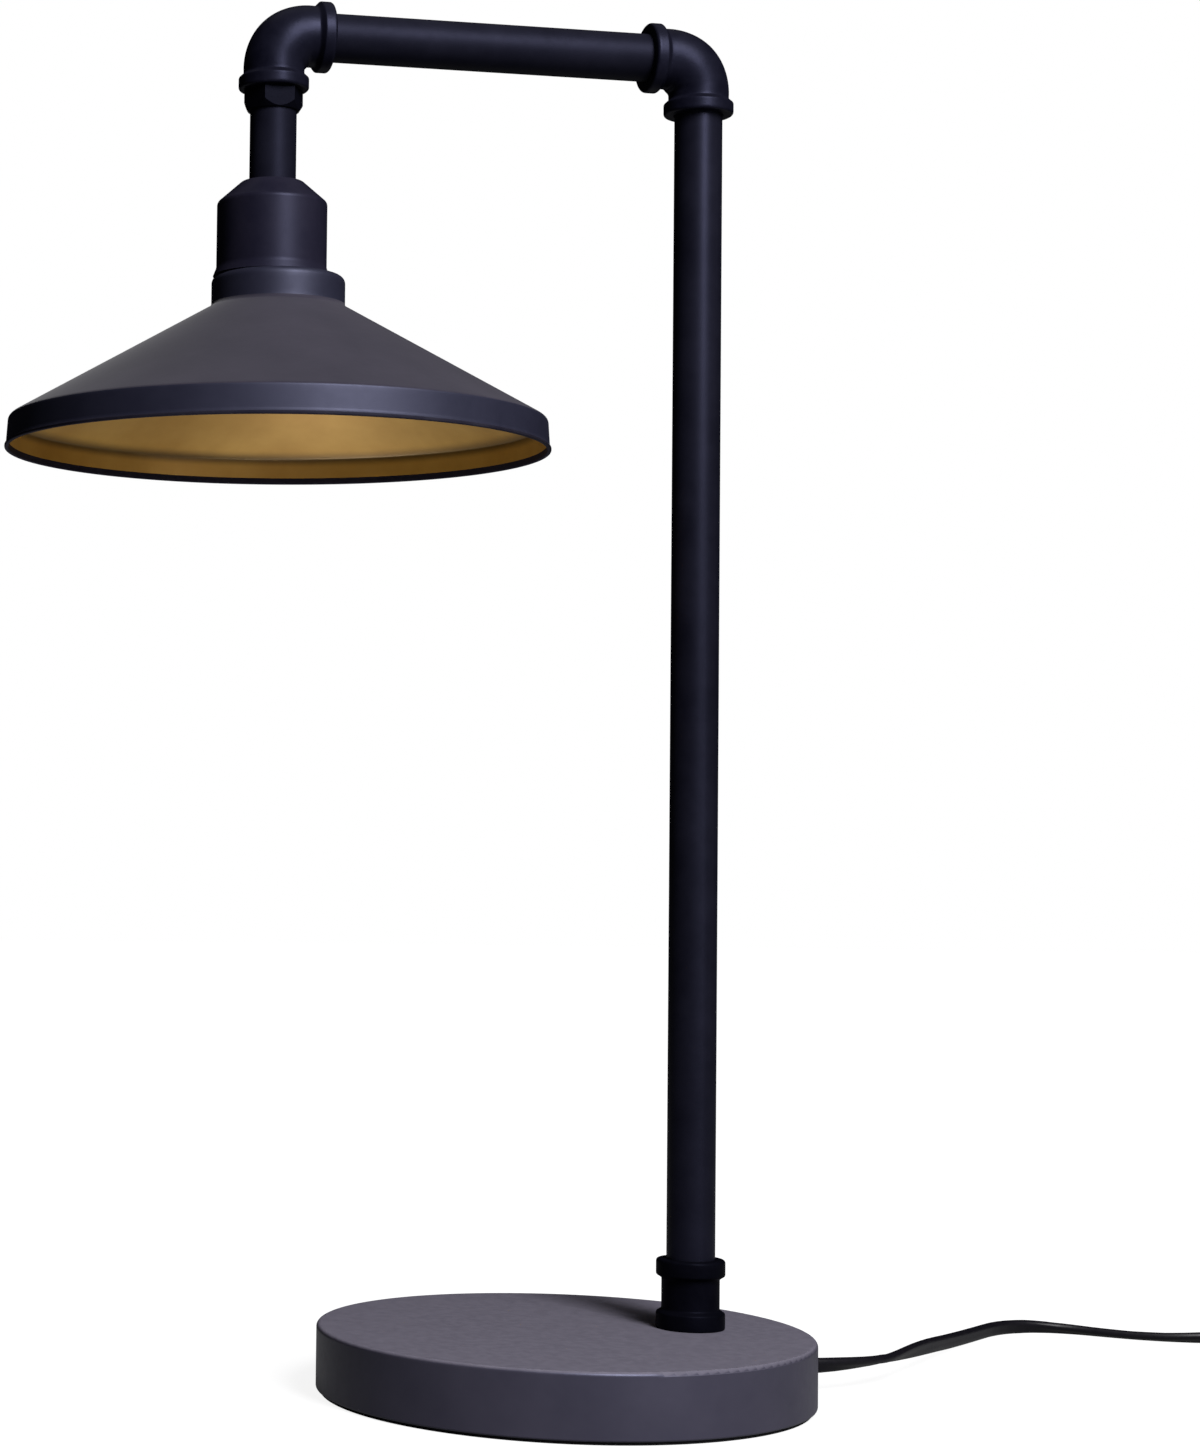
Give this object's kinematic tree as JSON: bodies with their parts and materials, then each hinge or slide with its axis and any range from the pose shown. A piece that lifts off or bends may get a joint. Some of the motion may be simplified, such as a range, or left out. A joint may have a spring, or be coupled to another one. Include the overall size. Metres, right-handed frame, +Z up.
{
  "type": "table lamp",
  "caption": "Table lamp of black half inch pipe: round base, offset post, swing arm, swivelling cone shade with a gold inside, corded with an in-line switch.",
  "frame": {"origin": "centre of the round base's underside, on the table", "axes": "+Z up, +X from the base's centre towards the post, so the arm reaches towards -X"},
  "size_m": [0.6824, 0.2731, 0.6125],
  "materials": {
    "black_casting": "satin black powder coat",
    "black_pipe": "satin black paint",
    "black_fitting": "satin black paint",
    "black_sheet": "matte black paint, gold inside the shade",
    "zinc_steel": "zinc plated",
    "brass": "plain brass",
    "black_rubber": "matte rubber",
    "black_plastic": "matte moulded plastic",
    "rocker_plastic": "gloss moulded plastic",
    "holder_plastic": "phenolic moulding",
    "felt": "dense black felt",
    "cord_sheath": "smooth black flat lead",
    "inner_lead": "inner twin lead",
    "bulb_glass": "clear glass",
    "bulb_metal": "screw cap",
    "filament": "filament and stem"
  },
  "bodies": {
    "base": {"felt_pad": "felt", "base_casting": "black_casting", "cover_plate": "zinc_steel", "cover_screws": "zinc_steel", "base_nipple": "zinc_steel", "base_washer": "zinc_steel", "base_locknut": "zinc_steel", "strain_relief": "black_rubber", "foot_coupling": "black_fitting", "post_pipe": "black_pipe", "post_lead": "inner_lead", "cord_lead": "cord_sheath", "cord_link": "cord_sheath", "cord_coil": "cord_sheath", "cord_tail": "cord_sheath", "plug_body": "black_plastic", "plug_blades": "brass", "switch_base": "black_plastic", "switch_cover": "black_plastic", "rocker_pin": "zinc_steel", "switch_contacts": "brass", "switch_screws": "zinc_steel"},
    "arm": {"post_elbow": "black_fitting", "arm_pipe": "black_pipe", "arm_lead": "inner_lead"},
    "head": {"head_elbow": "black_fitting", "swivel_collar": "black_fitting", "head_lead": "inner_lead"},
    "shade_drop": {"swivel_washer": "black_plastic", "swivel_stem": "zinc_steel", "stem_nut": "zinc_steel", "drop_tube": "black_pipe", "drop_top_bushing": "zinc_steel", "drop_bottom_bushing": "zinc_steel", "drop_lead": "inner_lead", "cup_nipple": "zinc_steel", "cup_locknut": "zinc_steel", "socket_cup": "black_sheet", "socket_body": "holder_plastic", "socket_shell": "brass", "socket_contact": "brass", "terminal_screws": "brass", "shade": "black_sheet", "shade_ring": "holder_plastic", "bulb_cap": "bulb_metal", "bulb_glass": "bulb_glass", "bulb_stem": "filament"},
    "rocker": {"switch_rocker": "rocker_plastic"}
  },
  "joints": [
    {"name": "arm_swing", "type": "hinge", "parent": "base", "child": "arm", "pos_m": [0.0585, 0, 0.597], "axis": [0, 0, 1], "range_deg": [-90, 90]},
    {"name": "head_tilt", "type": "hinge", "parent": "arm", "child": "head", "pos_m": [-0.1385, 0, 0.597], "axis": [1, 0, 0], "range_deg": [-40, 40]},
    {"name": "shade_swivel", "type": "hinge", "parent": "head", "child": "shade_drop", "pos_m": [-0.1385, 0, 0.567], "axis": [0, 0, 1], "range_deg": [-150, 150]},
    {"name": "switch_press", "type": "hinge", "parent": "base", "child": "rocker", "pos_m": [0.417, 0.038, 0.0122], "axis": [1, 0, 0], "range_deg": [-18, 0]}
  ]
}
